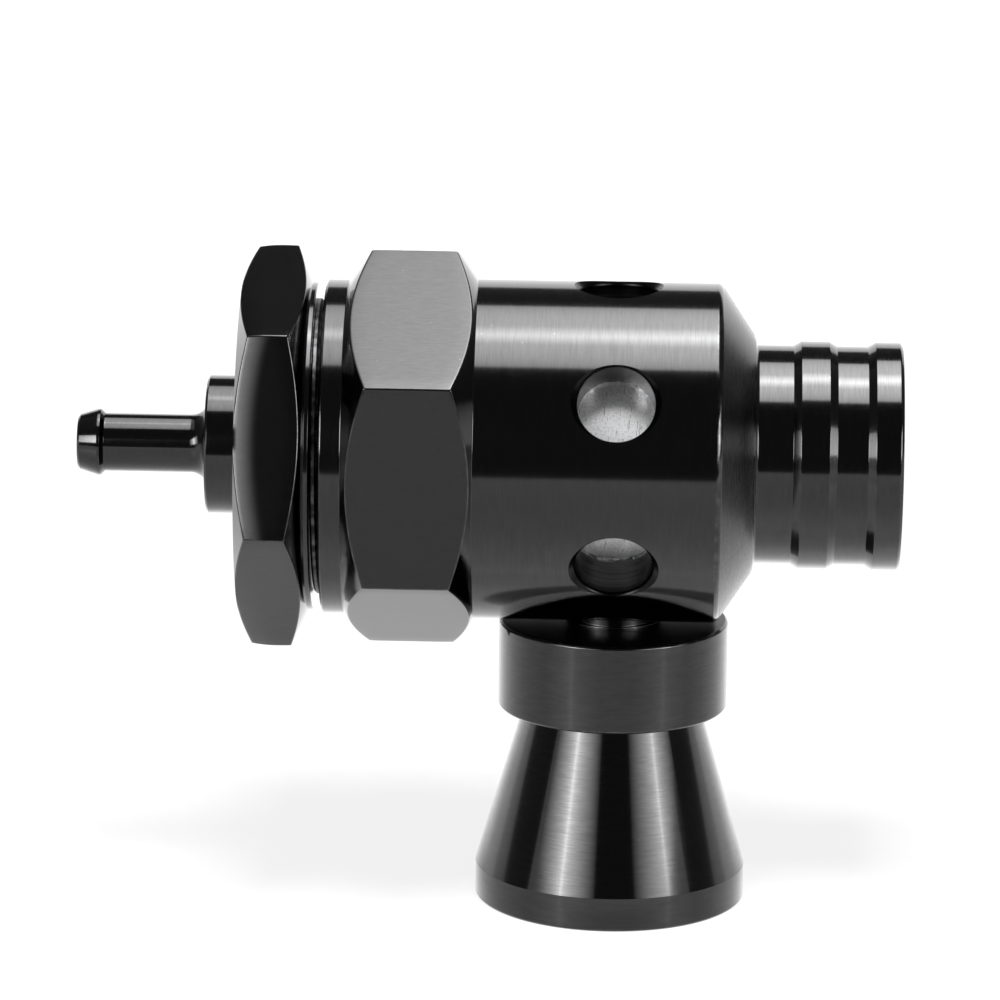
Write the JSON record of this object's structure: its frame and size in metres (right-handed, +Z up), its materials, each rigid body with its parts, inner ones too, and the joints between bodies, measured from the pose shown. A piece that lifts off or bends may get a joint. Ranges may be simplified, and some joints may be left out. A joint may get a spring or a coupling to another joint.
{
  "type": "blow off valve",
  "caption": "Piston blow off valve turned in black anodised aluminium, with a hexagon body and cap, a ribbed hose inlet, radial vents, a vacuum nipple and a flared outlet trumpet.",
  "frame": {"origin": "on the valve axis at the outer end of the last hose rib of the inlet spigot", "axes": "+X along the valve axis out of the inlet, +Z up, away from the outlet trumpet, which points to -Z"},
  "size_m": [0.0906, 0.043, 0.073],
  "materials": {
    "anodised_black": "black anodised, fine turning lines",
    "machined_aluminium": "bare, turned",
    "spring_steel": "drawn wire",
    "nitrile": "moulded, satin",
    "guide_plastic": "matt"
  },
  "bodies": {
    "housing": {"valve_body": "anodised_black", "top_cap": "anodised_black", "cap_o_ring": "nitrile", "vacuum_nipple": "anodised_black", "nipple_o_ring": "nitrile", "outlet_collar": "anodised_black", "trumpet": "anodised_black", "spring_seat": "machined_aluminium", "return_spring": "spring_steel"},
    "piston": {"piston": "machined_aluminium", "spring_washer": "spring_steel", "piston_rear_o_ring": "nitrile", "piston_front_o_ring": "nitrile", "piston_guide_band": "guide_plastic", "piston_nose_seal": "nitrile"}
  },
  "joints": [
    {"name": "piston_slide", "type": "slide", "parent": "housing", "child": "piston", "axis": [-1, 0, 0], "range_m": [0, 0.011], "stiffness_N_per_m": 1400, "springref_m": -0.012, "deforming": ["return_spring"]}
  ]
}
